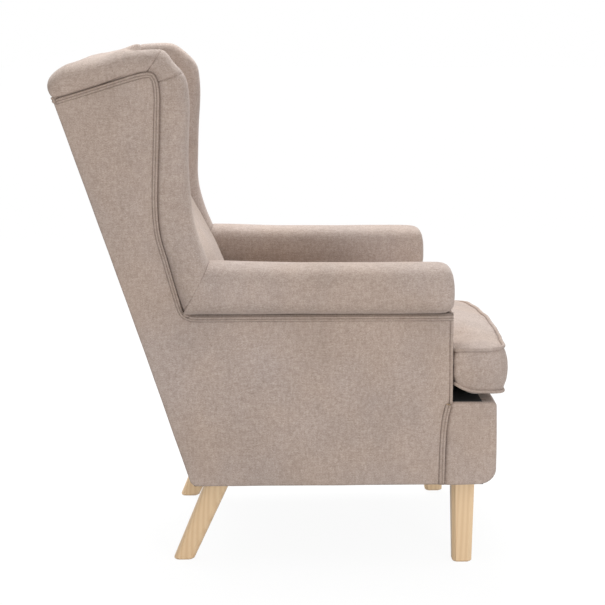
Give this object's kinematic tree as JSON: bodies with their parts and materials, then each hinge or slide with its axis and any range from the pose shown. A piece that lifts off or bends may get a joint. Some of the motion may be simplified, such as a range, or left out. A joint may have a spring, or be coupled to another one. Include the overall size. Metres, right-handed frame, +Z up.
{
  "type": "fireside chair",
  "caption": "Wing-backed fireside chair with rolled arms, a loose T-shaped seat cushion, double-welted panels and tapered wooden legs.",
  "frame": {"origin": "on the floor, under the middle of the chair's width and depth", "axes": "+Z up, the chair faces -Y, +X towards the sitter's left"},
  "size_m": [0.81, 0.9003, 1.01],
  "materials": {
    "fabric": "woven chenille, matt",
    "welt_fabric": "woven chenille, matt",
    "frame_timber": "planed, bare",
    "hardboard": "pressed board",
    "spring_steel": "bright zinc",
    "black_steel": "satin black",
    "black_cloth": "non-woven, matt",
    "foam": "open-cell foam",
    "zip_tape": "woven tape",
    "leg_wood": "clear matt lacquer"
  },
  "bodies": {
    "chair": {"base_rail_left": "frame_timber", "base_rail_right": "frame_timber", "front_post_left": "frame_timber", "front_post_right": "frame_timber", "arm_rail_left": "frame_timber", "arm_rail_right": "frame_timber", "back_post_left": "frame_timber", "back_post_right": "frame_timber", "wing_post_left": "frame_timber", "wing_post_right": "frame_timber", "front_rail": "frame_timber", "base_rear_rail": "frame_timber", "seat_rear_rail": "frame_timber", "back_low_rail": "frame_timber", "back_top_rail": "frame_timber", "corner_blocks": "frame_timber", "arm_board_left": "hardboard", "arm_board_right": "hardboard", "seat_springs": "spring_steel", "spring_clips": "spring_steel", "back_webbing": "black_cloth", "seat_deck": "black_cloth", "back_pad": "fabric", "arm_pad_left": "fabric", "arm_pad_right": "fabric", "arm_roll_left": "fabric", "arm_roll_right": "fabric", "arm_facing_left": "fabric", "arm_facing_right": "fabric", "facing_welt_left": "welt_fabric", "facing_welt_right": "welt_fabric", "wing_roll_left": "fabric", "wing_roll_right": "fabric", "wing_pad_left": "fabric", "wing_pad_right": "fabric", "top_roll": "fabric", "side_cover_left": "fabric", "side_cover_right": "fabric", "side_welt_left": "welt_fabric", "side_welt_right": "welt_fabric", "base_welt_left": "welt_fabric", "base_welt_right": "welt_fabric", "outer_back": "fabric", "back_welt": "welt_fabric", "apron": "fabric", "dust_cover": "black_cloth", "leg_front_left": "leg_wood", "leg_front_right": "leg_wood", "leg_rear_left": "leg_wood", "leg_rear_right": "leg_wood", "leg_plates": "black_steel", "hanger_bolts": "spring_steel", "plate_screws": "spring_steel"},
    "cushion": {"cushion_cover": "fabric", "cushion_core": "foam", "cushion_welt_top": "welt_fabric", "cushion_welt_bottom": "welt_fabric", "cushion_zip": "zip_tape"}
  },
  "joints": [
    {"name": "cushion_lift", "type": "slide", "parent": "chair", "child": "cushion", "axis": [0, 0, 1], "range_m": [0, 0.7]}
  ]
}
